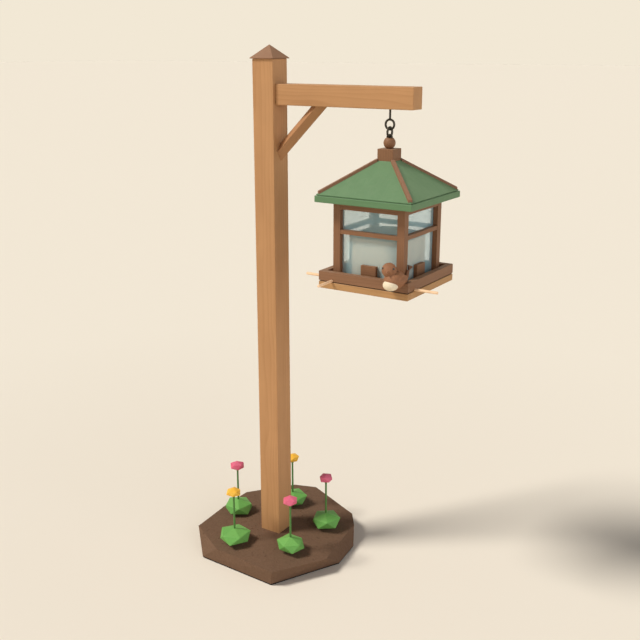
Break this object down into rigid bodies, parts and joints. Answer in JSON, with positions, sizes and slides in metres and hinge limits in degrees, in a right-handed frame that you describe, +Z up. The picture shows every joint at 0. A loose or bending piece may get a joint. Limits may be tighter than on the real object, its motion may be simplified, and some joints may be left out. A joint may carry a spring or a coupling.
{
  "type": "lantern bird feeder on a post",
  "caption": "Glazed wooden lantern bird feeder with a hipped roof and seed tray, hung by a link from the braced arm of a square post in a planted mound.",
  "frame": {"origin": "on the ground, under the axis of the post", "axes": "+Z up the post, +X along the arm towards the lantern"},
  "size_m": [1.185, 0.766, 2.231],
  "materials": {
    "soil": "dull, earthy",
    "plant": "dull green with pink and yellow blooms",
    "oiled_timber": "oiled, satin",
    "cap_timber": "stained, satin",
    "brace_timber": "oiled, satin",
    "stained_timber": "stained, satin",
    "rim_timber": "stained, satin",
    "strip_timber": "stained, satin",
    "base_timber": "oiled, satin",
    "dowel_timber": "bare, smooth",
    "green_paint": "painted, satin",
    "iron": "blackened",
    "zinc": "zinc plated",
    "glass": "clear, slightly blue-green",
    "seed": "dull, granular",
    "carved_bird": "painted, dull",
    "bead": "glossy black"
  },
  "bodies": {
    "stand": {"soil_mound": "soil", "flower_plant_1": "plant", "flower_plant_2": "plant", "flower_plant_3": "plant", "flower_plant_4": "plant", "flower_plant_5": "plant", "post": "oiled_timber", "post_cap": "cap_timber", "arm": "oiled_timber", "arm_brace": "brace_timber", "arm_screw_1": "zinc", "arm_screw_2": "zinc", "eye_screw": "iron"},
    "link": {"chain_link": "iron"},
    "hanger": {"finial_eye": "iron", "finial_ball": "stained_timber", "hanger_nut": "zinc"},
    "lantern": {"plinth": "stained_timber", "eave_board": "green_paint", "seed": "seed", "base_board": "base_timber", "bird": "carved_bird", "bird_eye_left": "bead", "bird_eye_right": "bead", "roof_panel_front": "green_paint", "top_rail_front": "stained_timber", "mid_rail_front": "stained_timber", "glass_pane_front": "glass", "port_block_front": "stained_timber", "tray_rim_front": "rim_timber", "perch_front": "dowel_timber", "roof_panel_right": "green_paint", "top_rail_right": "stained_timber", "mid_rail_right": "stained_timber", "glass_pane_right": "glass", "port_block_right": "stained_timber", "tray_rim_right": "rim_timber", "perch_right": "dowel_timber", "roof_panel_back": "green_paint", "top_rail_back": "stained_timber", "mid_rail_back": "stained_timber", "glass_pane_back": "glass", "port_block_back": "stained_timber", "tray_rim_back": "rim_timber", "perch_back": "dowel_timber", "roof_panel_left": "green_paint", "top_rail_left": "stained_timber", "mid_rail_left": "stained_timber", "glass_pane_left": "glass", "port_block_left": "stained_timber", "tray_rim_left": "rim_timber", "perch_left": "dowel_timber", "hip_strip_front_left": "strip_timber", "corner_post_front_left": "stained_timber", "hip_strip_front_right": "strip_timber", "corner_post_front_right": "stained_timber", "hip_strip_back_right": "strip_timber", "corner_post_back_right": "stained_timber", "hip_strip_back_left": "strip_timber", "corner_post_back_left": "stained_timber"}
  },
  "joints": [
    {"name": "link_swing", "type": "hinge", "parent": "stand", "child": "link", "pos_m": [0.551, 0, 1.9242], "axis": [1, 0, 0], "range_deg": [-15, 15]},
    {"name": "hanger_swing", "type": "hinge", "parent": "link", "child": "hanger", "pos_m": [0.551, 0, 1.8961], "axis": [0, 1, 0], "range_deg": [-15, 15]},
    {"name": "lantern_turn", "type": "hinge", "parent": "hanger", "child": "lantern", "pos_m": [0.551, 0, 1.854], "axis": [0, 0, 1], "continuous": true}
  ]
}
